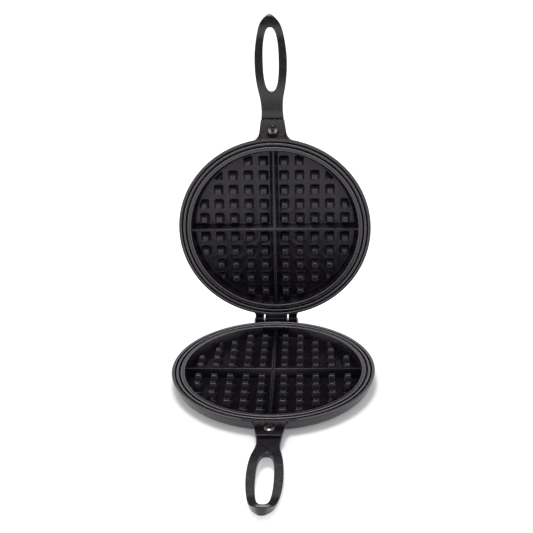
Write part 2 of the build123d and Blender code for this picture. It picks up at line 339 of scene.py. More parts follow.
class PlateSizes(bpy.types.PropertyGroup):
    rim_radius: length("Rim radius", "Over the rim", 100.0)
    height: length("Height", "Grid face of the rim to the flat outer face", 16.0)
    closed_gap: length("Closed gap", "Between the two rims when shut", 0.4)
    lip_height: length("Lip height", "Outer wall under the rim", 4.5)
    lip_inset: length("Lip inset", "How far that wall leans in", 1.2)
    face_radius: length("Outer face radius", "Flat outer face", 88.0)
    recess_depth: length("Recess depth", "Cooking recess below the rim", 11.0)
    recess_radius: length("Recess radius", "At the grid face", 87.3)
    floor_radius: length("Floor radius", "Floor of the recess", 83.5)
    inner_groove: length("Inner groove radius", "Inner wall of the inner drip groove", 90.8)
    inner_groove_width: length("Inner groove width", "Inner drip groove", 2.2)
    outer_groove: length("Outer groove radius", "Inner wall of the outer drip groove", 95.0)
    outer_groove_width: length("Outer groove width", "Outer drip groove", 2.0)
    groove_depth: length("Groove depth", "Both drip grooves", 2.4)
    peg_pitch: length("Peg pitch", "Between rows of pegs", 15.6)
    peg_first: length("First row", "First row of pegs from the middle of a divider", 10.6)
    peg_base: length("Peg foot width", "Peg at the floor", 9.4)
    peg_top: length("Peg top width", "Peg at its top", 5.0)
    peg_height: length("Peg height", "Above the floor", 8.5)
    peg_field_radius: length("Peg field radius", "Circle that the pegs are trimmed to", 81.5)
    divider_base: length("Divider foot width", "Divider at the floor", 8.2)
    divider_crest: length("Divider crest width", "Divider at its crest", 2.0)
    divider_height: length("Divider height", "Above the floor", 9.5)
    hinge_offset: length("Hinge offset", "Middle of the plates to the axis", hinge["pos_m"][1] / MM)
    hinge_drop: length("Hinge drop", "Base's grid face down to the hinge axis", 2.0)
    knuckle_radius: length("Knuckle radius", "Round of the knuckle and ears", 5.2)
    knuckle_width: length("Knuckle width", "Middle knuckle of the base", 23.6)
    ear_gap: length("Ear gap", "Between the knuckle and each ear", 1.5)
    ear_width: length("Ear width", "Each ear of the lid", 8.8)
    lug_drop: length("Lug drop", "Lug face below the grid face", 2.0)
    lug_thickness: length("Lug thickness", "Handle lug", 3.6)
    lug_length: length("Lug length", "Rim to the end of the lug", 18.6)
    lug_end_width: length("Lug end width", "End of the lug", 23.4)
    lug_root_width: length("Lug root width", "Lug where it leaves the plate", 32.0)
    ramp_reach: length("Ramp reach", "How far the rim slopes out on to the lug", 7.5)
    seat_thickness: length("Seat thickness", "Inner end of a handle", 6.6)
    seat_width: length("Seat width", "Inner end of a handle", 22.4)
    screw_reach: length("Screw reach", "Rim to the screw", 8.0)


class HandleSizes(bpy.types.PropertyGroup):
    start: length("Start", "Rim to the square inner end", 1.9)
    seat_length: length("Seat length", "Flat inner end that takes the screw", 22.1)
    neck_length: length("Neck length", "Flat end to the eye", 22.5)
    eye_length: length("Eye length", "Opening of the loop", 61.5)
    tip_length: length("Tip length", "Eye to the end of the handle", 12.8)
    neck_thickness: length("Neck thickness", "Where the handle is humped", 5.4)
    loop_thickness: length("Loop thickness", "Where the handle dips", 4.8)
    tip_thickness: length("Tip thickness", "End of the handle", 9.0)
    neck_width: length("Neck width", "Where the eye starts", 25.4)
    loop_width: length("Loop width", "Where the loop is widest", 31.4)
    tip_width: length("Tip width", "Where the eye ends", 23.2)
    nose_width: length("Nose width", "Partway along the tip", 19.0)
    nose_draft: share("Nose draft", "Part of its width that the tip loses to its underside", 0.35)
    eye_width: length("Eye width", "Opening of the loop at its widest", 15.4)
    eye_fullness: number("Eye fullness", "2 is an ellipse, more is squarer", 2.45, min=2.0, max=8.0)
    neck_rise: length("Neck rise", "Hump above the flat end", 6.0)
    dip_fall: length("Dip fall", "Dip below the hump", 10.9)
    tip_rise: length("Tip rise", "End of the tip above the dip", 8.8)
    base_swing: number("Base handle swing", "Turn round its screw", radians(-1.3), subtype="ANGLE")
    lid_swing: number("Lid handle swing", "Turn round its screw", radians(0.6), subtype="ANGLE")


class FastenerSizes(bpy.types.PropertyGroup):
    head_diameter: length("Head diameter", "Pan head of the screw", 9.5)
    head_height: length("Head height", "Underside to the top of the head", 3.1)
    head_crown: length("Head crown", "How far the middle of the head stands over its side", 1.3)
    cross_length: length("Cross length", "Tip to tip at the top of the recess", 6.2)
    cross_width: length("Cross width", "Each arm at the top of the recess", 1.4)
    cross_depth: length("Cross depth", "Top of the head to the foot of the recess", 1.8)
    screw_radius: length("Screw radius", "Over the thread", 2.5)
    screw_length: length("Screw length", "Under the head", 10.0)
    thread_pitch: length("Thread pitch", "Coarse M5 thread", 0.8)
    thread_depth: length("Thread depth", "Crest to root", 0.45)
    nut_across: length("Nut across flats", "M5 hexagon", 8.0)
    nut_height: length("Nut height", "Along the screw", 4.0)
    nut_pocket: length("Nut pocket", "Depth of the nut's seat in the handle", 3.6)
    pin_radius: length("Pin radius", "Shank of the hinge pin", 2.5)
    pin_head_radius: length("Pin head radius", "Domed heads of the hinge pin", 4.0)
    pin_head_height: length("Pin head height", "Crown of the domed heads", 1.6)


class FinishColours(bpy.types.PropertyGroup):
    iron_dark: colour("Iron, darkest", "Deepest tone of the iron", (0.0045, 0.0034, 0.0054))
    iron_light: colour("Iron, lightest", "Lightest tone of the iron", (0.0210, 0.0165, 0.0245))
    # painted highlight and sheen, with some wear: the pale tone that marked edges, lands, tops and flanks
    # are lightened towards
    iron_wear_and_highlight: colour("Iron, worn", "Tops of the grid and the lands", (0.24, 0.226, 0.242))
    grip_wear: share("Grip wear", "How far the handles are rubbed towards the worn tone", 0.03)
    # painted shade: how far the near-black shade paint covers the base's and the lid's cooking recesses
    base_painted_shade: share("Base soot", "How sooty the base's cooking recess is", 0.6)
    lid_painted_shade: share("Lid soot", "How sooty the lid's cooking recess is", 0.2)
    iron_roughness: share("Iron roughness", "How matt the seasoned iron is", 0.27)
    steel: colour("Screw steel", "Plated screws and nuts", (0.20, 0.19, 0.18))
    dark_steel: colour("Hinge steel", "Hinge pin", (0.16, 0.15, 0.15))


class StudioSettings(bpy.types.PropertyGroup):
    floor_size: length("Floor size", "Width of the square floor", 16000.0)
    floor_tone: share("Floor tone", "How pale the matt floor is", 0.9)
    floor_lift: share("Floor lift", "Light added where the floor is seen, to read as white", 0.2)
    far_lift: share("Far floor lift", "The same, away from the object and its lamp", 0.8)
    lift_start: length("Lift start", "Where the floor's lift begins to grow", 100.0)
    lift_end: length("Lift end", "Where the floor's lift is full", 250.0)
    lift_behind: length("Lift behind", "Where the lift behind the hinge begins to grow", 95.0)
    sky_level: share("Surround level", "Strength of the white surroundings as a light", 0.5)
    lamp_power: number("Lamp power", "Soft lamp overhead", 11.0, subtype="POWER", min=0.0)
    lamp_size: length("Lamp size", "Width of the round soft lamp", 500.0)
    lamp_place: metres("Lamp place", "Middle of the lamp", (-0.1, -0.05, 1.4))
    flag_width: length("Flag width", "Each of the two black cloths", 4000.0)
    front_flag: metres("Front flag", "Depth, foot and top, behind the camera", (-1.8, 0.25, 2.45))
    rear_flag: metres("Rear flag", "Depth, foot and top, above the backdrop", (1.5, 1.05, 2.6))
    lens: number("Lens", "Focal length on a 36 mm sensor", 67.54, unit="CAMERA", min=10.0)


# --- finishes ---

# painted shade: the near-black matt colour laid over hollows that lie in shade
SHADE_PAINT_COLOUR = (0.004, 0.0036, 0.0042, 1.0)
IRON_SHEEN = (0.98, 0.93, 1.0, 1.0)
GRIP_SHEEN = (0.97, 0.93, 0.94, 1.0)
MOTTLING_MIDDLE, MOTTLING_SPAN = 0.5, 0.28
BEHIND_FADE = 0.3               # share of lift_behind over which that lift grows to full


def cast_iron_finish(name, colours, rubbed, sheen):
    """Seasoned cast iron: satin black, a tinted sheen, sand grain, lightened towards a pale tone where its
    mesh marks wear and painted highlights, rubbed all over by so much, and under painted shade where
    marked.
    """
    material, start = new_material(name, colours.iron_light)
    place = place_on_object(start)
    broad, patches = noise(place, 24.0, 3.0), noise(place, 6.0, 4.0, 0.6)
    skin, grain = noise(place, 2.2, 3.0), noise(place, 0.55, 3.0, 0.65)
    mottling = broad * 0.3 + patches * 0.25 + skin * 0.3 + grain * 0.15
    mottling = (mottling - (MOTTLING_MIDDLE - MOTTLING_SPAN / 2)) / MOTTLING_SPAN
    base = mix_colours(mottling.clamp(), colours.iron_dark, colours.iron_light)
    # wear and painted highlight: marked edges, lands, tops and flanks lighten towards the pale tone
    wear_and_highlight = ((attribute(start, "wear_and_highlight") + rubbed) * (0.55 + grain * 0.9)).clamp()
    finish_surface(start.node("ShaderNodeBsdfPrincipled", None, {
        "Base Color": mix_colours(wear_and_highlight, base, colours.iron_wear_and_highlight),
        "Roughness": (colours.iron_roughness + (patches - 0.5) * 0.22 + (grain - 0.5) * 0.16).clamp(),
        "Normal": bumped(grain, 0.045, below=bumped(skin, 0.14, below=bumped(patches, 0.12))),
        "IOR": 1.47,
        "Specular Tint": sheen,
    }), with_painted_shade=True)
    return material


def steel_finish(name, colour, shades, cloud_mm, rub_mm, gloss, depth_mm, with_painted_shade=False):
    """Steel that drifts between two shades of a colour and two glosses, faintly rubbed."""
    material, start = new_material(name, colour)
    place = place_on_object(start)
    cloud, rub = noise(place, cloud_mm, 4.0, 0.6), noise(place, rub_mm, 2.0)
    tones = [tuple(shade * channel for channel in colour) for shade in shades]
    finish_surface(start.node("ShaderNodeBsdfPrincipled", None, {
        "Base Color": mix_colours(cloud, *tones),
        "Metallic": 1.0,
        "Roughness": (gloss[0] + cloud * gloss[1]).clamp(),
        "Normal": bumped(rub, depth_mm),
    }), with_painted_shade)
    return material


def seen_directly(start):
    """1 for what the camera, a reflection or a look through glass sees, else 0."""
    ray = start.node("ShaderNodeLightPath")
    seen = ray.sibling("Is Camera Ray") + ray.sibling("Is Glossy Ray") + ray.sibling("Is Transmission Ray")
    return seen.clamp()


def floor_finish(studio):
    """Matt white paper, lifted a little where it is seen so that it reads as white."""
    material, start = new_material("studio_floor", (studio.floor_tone,) * 3)
    place = place_on_object(start)
    matt = start.node("ShaderNodeBsdfDiffuse", None, {"Color": grey(studio.floor_tone)})
    reach = start.node("ShaderNodeVectorMath", {"operation": "LENGTH"}, {0: place}, out=1)
    depth = start.node("ShaderNodeSeparateXYZ", None, {0: place}, out=1)
    # painted light: the floor's glow grows away from the object and behind the hinge, paling the shadows
    # cast there
    behind = (depth - studio.lift_behind) / (BEHIND_FADE * studio.lift_behind)
    away = (reach - studio.lift_start) / (studio.lift_end - studio.lift_start) + behind.clamp()
    tone = mix_colours(away.clamp(), (studio.floor_lift,) * 3, (studio.far_lift,) * 3)
    glow = start.node("ShaderNodeEmission", None, {"Color": tone, "Strength": seen_directly(start)})
    finish_surface(start.node("ShaderNodeAddShader", None, {0: matt, 1: glow}))
    return material


class WAFFLE_OT_finishes(bpy.types.Operator):
    """Finishes of the castings, handles, pin, screws and nuts"""

    bl_idname = "waffle.finishes"
    bl_label = "Finishes"

    def execute(self, context):
        colours = context.scene.waffle_colours
        plate = cast_iron_finish("seasoned_cast_iron", colours, 0.0, IRON_SHEEN)
        grip = cast_iron_finish("handled_cast_iron", colours, colours.grip_wear, GRIP_SHEEN)
        bright = steel_finish(
            "rubbed_plated_steel", colours.steel, (0.72, 1.0), 1.6, 0.25, (0.2, 0.16), 0.012,
            with_painted_shade=True,
        )
        dark = steel_finish(
            "heat_darkened_steel", colours.dark_steel, (1.0, 1.6), 2.5, 0.3, (0.3, 0.2), 0.02
        )
        finishes = {"plate": plate, "handle": grip, "screw": bright, "nut": bright, "pin": dark}
        for name, node in frame["nodes"].items():
            node.data.materials.clear()
            node.data.materials.append(finishes[name.split("_")[-1]])
        return {"FINISHED"}


# --- castings ---

RIM_ROUND = 0.8 * MM
LAND_ROUND = 0.65 * MM
FACE_ROUND = 1.5 * MM           # edge of the flat outer face
FLOOR_ROUND = 1.2 * MM          # foot of the recess wall and of the dividers
GROOVE_ROUND = 0.5 * MM
CREST_ROUND = 0.9 * MM
CASTING_ROUND = 0.6 * MM        # edges of the lug and the hinge
SHOULDER_ROUND = 0.4 * MM
PEG_CORNER_ROUND, PEG_FOOT_ROUND, PEG_TOP_ROUND = 1.0 * MM, 0.9 * MM, 0.95 * MM
PEG_ROOTS = -0.5 * MM, -0.04 * MM   # levels at which pegs start inside the floor
ROOT_MARGIN = 0.2 * MM          # how far added forms start inside the flank
ROOT_RUN = 2 * MM               # how far they end outside the recess floor
SUNK = 0.3 * MM                 # how deep dividers and ramps start in the iron
WALL_SUNK = 0.4 * MM            # how far dividers reach into the recess wall
SLIVER = 0.1 * MM
HINGE_ROOT_DEPTH = 6.6 * MM
BORE_RADIUS, BORE_REACH = 2.56 * MM, 200 * MM
KNUCKLE_FLARE, EAR_FLARE, LUG_FLARE = 3.0 * MM, 8.0 * MM, 11.0 * MM
STOP_GAP, STOP_DEPTH = 0.3 * MM, 4.0 * MM     # heel that stops the open lid
LUG_CORNER_ROUND = 1.6 * MM
RAMP_INSET = 1.5 * MM           # how far inside the rim a ramp starts
SHOULDER_REACH = 1.5 * MM       # rim to the face that a handle butts on
SHOULDER_FOOT = 0.35 * MM       # outer face to the foot of the shoulder
SCREW_HOLE_RADIUS = 2.75 * MM
HEAD_RECESS_RADIUS, HEAD_RECESS_DEPTH = 5.3 * MM, 1.2 * MM
MOUTH_SPREAD, MOUTH_HEIGHT = 3 * MM, 2 * MM
MOUTH_ROUND, SEAT_ROUND, HOLE_ROUND = 0.5 * MM, 0.3 * MM, 0.2 * MM
# shares of painted shade, and of wear with painted sheen and highlights
SEAT_SHADE, GROOVE_SHADE, WALL_SHADE, TOP_SHADE, RAMP_SHADE = 0.92, 0.85, 0.2, 0.4, 1.5
FLANK_SHEEN, TOP_WEAR_AND_SHEEN, EDGE_WEAR_AND_HIGHLIGHT, LAND_WEAR_AND_SHEEN = 0.12, 0.03, 0.2, 0.1
# where painted shade, wear and painted highlights begin and end
SEAT_MARGIN, RAMP_SPREAD = 0.6 * MM, 1.4
LUG_SPREAD, LUG_INSET = 0.8, 2 * MM
LAND_SKIN = 0.02 * MM           # lands down to this depth count as flat
TOP_SKIN, EDGE_DEPTH = 0.01, 1.2        # millimetres below the top of a peg or divider
GROOVE_UNSHADED, GROOVE_FADE = 0.8, 0.9    # millimetres down a groove's wall


def grooves(sizes):
    """Inner and outer wall of each drip groove."""
    inner, outer = sizes.inner_groove, sizes.outer_groove
    return (inner, inner + sizes.inner_groove_width), (outer, outer + sizes.outer_groove_width)


def flank_arc(sizes):
    """Round flank of a plate, from the foot of its lip to its flat outer face."""
    lip_radius = sizes.rim_radius - sizes.lip_inset
    lean = atan2(sizes.lip_inset, sizes.lip_height)
    width, height = lip_radius - sizes.face_radius, sizes.height - sizes.lip_height
    bend = (width**2 + height**2) / 2 / (width * cos(lean) - height * sin(lean))
    centre = Vector((lip_radius - bend * cos(lean), -sizes.lip_height + bend * sin(lean)))
    last = atan2(-sizes.height - centre.y, sizes.face_radius - centre.x)
    return centre, bend, arc(centre, bend, -degrees(lean), degrees(last), 12)


def wall_radius(sizes, depth):
    """Radius at which forms added to the flank start, at a depth below the grid face."""
    centre, bend, _ = flank_arc(sizes)
    return centre.x + sqrt(bend**2 - (depth + centre.y) ** 2) - ROOT_MARGIN


def plate_disc(name, sizes):
    """Dished disc: recess floor and wall, lands and drip grooves, lip, flank and flat face."""
    corners = [
        (0, -sizes.recess_depth, 0),
        (sizes.floor_radius, -sizes.recess_depth, FLOOR_ROUND),
        (sizes.recess_radius, 0, LAND_ROUND),
    ]
    for inner, outer in grooves(sizes):
        corners += [
            (inner, 0, LAND_ROUND), (inner, -sizes.groove_depth, GROOVE_ROUND),
            (outer, -sizes.groove_depth, GROOVE_ROUND), (outer, 0, LAND_ROUND),
        ]
    lip_foot = (sizes.rim_radius - sizes.lip_inset, -sizes.lip_height, 0)
    corners += [(sizes.rim_radius, 0, RIM_ROUND), lip_foot]
    flank = flank_arc(sizes)[2]
    face = [(*flank[-2], 0), (sizes.face_radius, -sizes.height, FACE_ROUND), (0, -sizes.height, 0)]
    return lathe(name, rounded(corners) + flank[1:-1] + rounded(face)[1:], PLATE_SIDES)


def flared_outline(sizes, depth, inner, outer, end, flare, corner=0.0, taper=0.0):
    """Half of a tongue on the +y side of the disc: its outer side flares into the disc.

    depth is its underside's, inner and outer its x limits, end its y limit, and taper what
    its side loses in x.
    """
    root_radius = wall_radius(sizes, depth)
    side_end, root = Vector((outer, end)), Vector((outer + taper, sizes.face_radius))
    along = (side_end - root).normalized()
    out = Vector((along.y, -along.x))
    start = root + out * flare
    middle = start.dot(along)
    reach = sqrt(middle**2 - start.length_squared + (root_radius + flare) ** 2) - middle
    centre = start + along * reach
    on_disc = centre.normalized() * root_radius - centre
    bend = [centre + on_disc.slerp(-out * flare, step / 6) * flare for step in range(7)]
    tip = rounded([(*bend[-1], 0), (*side_end, corner), (inner, end, 0)], 4)[1:]
    inside = sizes.floor_radius + ROOT_RUN
    return [(inner, inside), (bend[0].x, inside), *bend, *tip]


def mirrored(outline):
    """Whole outline from its half on the +x side, whose first and last points are at x = 0."""
    return outline + [(-x, y) for x, y in reversed(outline)][1:-1]


def touching(start, centre, radius):
    """Where a line from start touches a circle, turning left round its centre."""
    away = start - centre
    turn = acos(radius / away.length)
    return centre + Matrix.Rotation(turn, 2) @ away.normalized() * radius


def hinge_side(sizes, axis_level):
    """Outline of the hinge leaf seen from the side, as (y, z)."""
    centre = Vector((sizes.hinge_offset, axis_level))
    foot = Vector((wall_radius(sizes, HINGE_ROOT_DEPTH), -HINGE_ROOT_DEPTH))
    touch = touching(foot, centre, sizes.knuckle_radius) - centre
    over = arc(centre, sizes.knuckle_radius, degrees(atan2(touch.y, touch.x)), 180.0, 24)
    front, inside = sizes.hinge_offset - sizes.knuckle_radius, sizes.floor_radius + ROOT_RUN
    if axis_level < -RIM_ROUND:
        over[-1] = (front, axis_level)
    return [foot, *over, (front, -RIM_ROUND), (inside, -RIM_ROUND), (inside, -HINGE_ROOT_DEPTH)]


def hinge_leaves(sizes, axis_level, outlines):
    """Knuckle or ears: plan outlines cut to the side profile, with soft edges."""
    leaves = []
    for outline in outlines:
        top = axis_level + sizes.knuckle_radius + MM
        leaf = prism("leaf", outline, -HINGE_ROOT_DEPTH - MM, top, ALONG_Z)
        side = prism("side", hinge_side(sizes, axis_level), -sizes.rim_radius, sizes.rim_radius, ALONG_X)
        combine(leaf, "INTERSECT", side)
        soften(leaf, CASTING_ROUND)
        leaves.append(leaf)
    return leaves


def divider_bar(sizes, axes):
    """Bar across the recess, with a rounded crest and a flared foot."""
    floor, crest = -sizes.recess_depth, sizes.divider_height - sizes.recess_depth
    foot, ridge = sizes.divider_base / 2, sizes.divider_crest / 2
    spread, end = foot + 2 * FLOOR_ROUND, sizes.recess_radius + WALL_SUNK
    half = [(ridge, crest, CREST_ROUND), (foot, floor - SUNK, FLOOR_ROUND), (spread, floor - SUNK, 0)]
    outline = rounded([(-x, z, bend) for x, z, bend in reversed(half)] + half, 4)
    return prism("divider", outline + [(spread, floor - MM), (-spread, floor - MM)], -end, end, axes)


def peg_template(sizes):
    """One peg as rings of headings; each ring carries the sizes that place it."""
    lean = atan2((sizes.peg_base - sizes.peg_top) / 2, sizes.peg_height)
    slope, wall = tan(lean), pi / 2 - lean

    def side(z):
        """Half width of the tapered peg at a height above the floor."""
        return sizes.peg_base / 2 - z * slope

    # heights of the rings, and how far each stands out from the tapered side
    foot = PEG_FOOT_ROUND
    centre = side(foot * (1 - cos(wall))) + foot * sin(wall)
    levels = [(root, centre - side(0)) for root in PEG_ROOTS]
    for turn in (wall / 2, wall):
        z = foot * (1 - cos(turn))
        levels.append((z, centre - foot * sin(turn) - side(z)))
    top = PEG_TOP_ROUND
    high = sizes.peg_height - top
    centre = side(high + top * sin(lean)) - top * cos(lean)
    for step in range(4):
        turn = lean + wall * step / 3
        z = high + top * sin(turn)
        levels.append((z, centre + top * cos(turn) - side(z)))

    form = bmesh.new()
    layers = [form.verts.layers.float.new(name) for name in ("half", "field", "soft")]
    heading = form.verts.layers.float_vector.new("heading")
    turns = [radians(90 * quarter + turn) for quarter in range(4) for turn in (1, 30, 60, 89)]
    rings = []
    for z, offset in levels:
        half, field = side(z) - PEG_CORNER_ROUND, sizes.peg_field_radius - z * slope - PEG_CORNER_ROUND
        rings.append([])
        for x, y in [(cos(turn), sin(turn)) for turn in turns]:
            vertex = form.verts.new((x * MM, y * MM, z - sizes.recess_depth))
            vertex[heading] = (x, y, 0)
            for layer, value in zip(layers, (half, field, PEG_CORNER_ROUND + offset)):
                vertex[layer] = value
            rings[-1].append(vertex)
    stitch(form, rings)
    return new_piece("waffle_pegs", form)


def peg_tree():
    """Rows of pegs either side of the dividers, each trimmed to the round recess."""
    tree = bpy.data.node_groups.new("waffle_pegs", "GeometryNodeTree")
    kinds = {
        "Geometry": "Geometry", "Pitch": "Float", "First row": "Float",
        "Field radius": "Float", "Rows": "Int", "Finish": "Material",
    }
    sockets = {
        name: tree.interface.new_socket(name, in_out="INPUT", socket_type="NodeSocket" + kind).identifier
        for name, kind in kinds.items()
    }
    tree.interface.new_socket("Geometry", in_out="OUTPUT", socket_type="NodeSocketGeometry")
    peg = Wire(tree).node("NodeGroupInput")

    def step(kind, made, settings=None, **inputs):
        return peg.node("GeometryNode" + kind, settings, {0: made, **inputs})

    def vector(operation, out=0, **inputs):
        return peg.node("ShaderNodeVectorMath", {"operation": operation}, {0: place, **inputs}, out)

    def named(name, kind="FLOAT"):
        return peg.node("GeometryNodeInputNamedAttribute", {"data_type": kind}, {"Name": name})

    def parts(whole):
        split = peg.node("ShaderNodeSeparateXYZ", None, {0: whole})
        return split, split.sibling("Y"), split.sibling("Z")

    def sign(value):
        return value.math("SIGN", value)

    def least(one, other):
        return one.math("MINIMUM", one, other)

    def choose(mask, yes, no):
        return mask * yes + (1.0 - mask) * no

    pitch, rows = peg.sibling("Pitch"), peg.sibling("Rows")
    span = pitch * (rows - 1)
    place = peg.node("GeometryNodeInputPosition")
    grid = peg.node("GeometryNodeMeshGrid", None, {0: span, 1: span, 2: rows, 3: rows})
    points = step("MeshToPoints", grid)
    spread = {0: vector("SIGN"), "Scale": peg.sibling("First row") - pitch / 2}
    spread = peg.node("ShaderNodeVectorMath", {"operation": "SCALE"}, spread)
    points = step("SetPosition", points, Offset=spread)
    outside = vector("LENGTH", out=1) > peg.sibling("Field radius")
    points = step("DeleteGeometry", points, {"domain": "POINT"}, Selection=outside)
    store = {"data_type": "FLOAT_VECTOR", "domain": "POINT"}
    points = step("StoreNamedAttribute", points, store, Name="middle", Value=place)
    pegs = step("RealizeInstances", step("InstanceOnPoints", points, Instance=peg))

    half, field, soft = named("half"), named("field"), named("soft")
    middle_x, middle_y, _ = parts(named("middle", "FLOAT_VECTOR"))
    toward_x, toward_y, _ = parts(named("heading", "FLOAT_VECTOR"))
    side_x, side_y = sign(middle_x), sign(middle_y)
    toward_x, toward_y = toward_x * side_x, toward_y * side_y
    near_x, near_y = middle_x * side_x - half, middle_y * side_y - half
    corner_x = near_x + half + half * sign(toward_x)
    corner_y = near_y + half + half * sign(toward_y)

    def on_field(across):
        return field.math("SQRT", field.math("MAXIMUM", field * field - across * across, 0.0))

    def trimmed(out, across, near):
        """A corner slid across on to the round field, or out where none of its side is left."""
        gone = on_field(out) < near
        slid = choose(gone, least(out, on_field(near)), out)
        return slid, choose(gone, near, least(across, on_field(out)))

    # where a corner lies outside the round field, its two neighbours on the circle
    first_x, first_y = trimmed(corner_x, corner_y, near_y)
    second_y, second_x = trimmed(corner_y, corner_x, near_x)
    ahead = first_x * toward_x + first_y * toward_y
    use_first = ahead > second_x * toward_x + second_y * toward_y
    x = side_x * (choose(use_first, first_x, second_x) + soft * toward_x)
    y = side_y * (choose(use_first, first_y, second_y) + soft * toward_y)
    moved = x.node("ShaderNodeCombineXYZ", None, {0: x, 1: y, 2: parts(place)[2]})
    pegs = step("SetMaterial", step("SetPosition", pegs, Position=moved), Material=peg.sibling("Finish"))
    pegs.node("NodeGroupOutput", None, {0: pegs})
    return tree, sockets


def peg_field(sizes):
    """All pegs of one plate as a plain mesh, in the plate's own frame."""
    pegs = peg_template(sizes)
    tree, sockets = peg_tree()
    grow = pegs.modifiers.new("pegs", "NODES")
    grow.node_group = tree
    for name, value in {
        "Pitch": sizes.peg_pitch,
        "First row": sizes.peg_first,
        "Field radius": sizes.peg_field_radius,
        "Rows": 2 * int(sizes.rim_radius // sizes.peg_pitch) - 2,
        "Finish": bpy.data.materials["seasoned_cast_iron"],
    }.items():
        grow[sockets[name]] = value
    settle(pegs)
    return pegs


def plate_frame(body):
    """Where a plate's own frame stands: on the base, or turned over on it and swung open."""
    sizes = bpy.context.scene.waffle_plates
    if body == "base":
        return Matrix.Translation((0, 0, sizes.height))
    joint = Vector(hinge["pos_m"])
    shut = Matrix.Translation((0, 0, sizes.height + sizes.closed_gap)) @ Matrix.Rotation(pi, 4, "Y")
    swing = Matrix.Rotation(-radians(hinge["range_deg"][1]), 4, Vector(hinge["axis"]))
    return Matrix.Translation(joint) @ swing @ Matrix.Translation(-joint) @ shut


def along_hinge():
    """Turns what stands on z to lie on the hinge axis."""
    return Matrix.Translation(Vector(hinge["pos_m"])) @ Matrix.Rotation(pi / 2, 4, "Y")


def at_screw(sizes):
    return Matrix.Translation((0, -sizes.rim_radius - sizes.screw_reach, 0))


def lug_parts(sizes):
    """Lug, the ramp from the rim on to it, and the shoulder that the handle butts on."""
    under, drop, rim = -sizes.lug_drop - sizes.lug_thickness, sizes.lug_drop, sizes.rim_radius
    taper = (sizes.lug_root_width - sizes.lug_end_width) / 2
    tongue = flared_outline(
        sizes, -under, 0.0, sizes.lug_end_width / 2, rim + sizes.lug_length,
        LUG_FLARE, LUG_CORNER_ROUND, taper,
    )
    tongue = [(x, -y) for x, y in mirrored(tongue)]
    lug = prism("lug", tongue, under, -drop, ALONG_Z)
    soften(lug, CASTING_ROUND, 3)

    ramp = prism("ramp", tongue, -2 * drop, 0, ALONG_Z)
    low, far, crest = -drop - SLIVER, rim + sizes.ramp_reach, -2 * SLIVER
    slope = [(0, 2 * low), (far, 2 * low), (far, low), (rim - SUNK, crest), (0, crest)]
    combine(ramp, "INTERSECT", lathe("slope", slope, PLATE_SIDES))
    combine(ramp, "DIFFERENCE", cylinder("core", rim - RAMP_INSET, -sizes.height, MM, PLATE_SIDES))

    end, inner = rim + SHOULDER_REACH, sizes.floor_radius + ROOT_RUN
    foot = SHOULDER_FOOT - sizes.height
    side = [
        (-inner, under - SLIVER), (-end, under - SLIVER), (-end, under - sizes.seat_thickness),
        (-sizes.face_radius - MM, foot), (-inner, foot),
    ]
    shoulder = prism("shoulder", side, -sizes.seat_width / 2, sizes.seat_width / 2, ALONG_X)
    soften(shoulder, SHOULDER_ROUND)
    return lug, ramp, shoulder


def screw_mouth(sizes):
    """What is cut from a lug for the screw: its hole and the round recess for its head."""
    seat, through = -HEAD_RECESS_DEPTH, -2 * sizes.lug_thickness
    mouth = lathe("mouth", rounded([
        (0, MOUTH_HEIGHT, 0), (HEAD_RECESS_RADIUS + MOUTH_SPREAD, MOUTH_HEIGHT, 0),
        (HEAD_RECESS_RADIUS, 0, MOUTH_ROUND), (HEAD_RECESS_RADIUS, seat, SEAT_ROUND),
        (SCREW_HOLE_RADIUS, seat, HOLE_ROUND), (SCREW_HOLE_RADIUS, through, 0), (0, through, 0),
    ]), 64)
    mouth.data.transform(at_screw(sizes) @ Matrix.Translation((0, 0, -sizes.lug_drop)))
    return mouth


def mark_wear_and_painted_light(plate, sizes, shade_paint):
    """Stores where the iron is lightened for wear and painted highlights (the tops, edges and flank) and
    where painted shade darkens it (the hollows).
    """
    marks = [plate.data.attributes.new(name, "FLOAT", "POINT") for name in ("wear_and_highlight", "painted_shade")]
    for index, vertex in enumerate(plate.data.vertices):
        for mark, value in zip(marks, wear_and_painted_light_at(*vertex.co, sizes, shade_paint)):
            mark.data[index].value = value


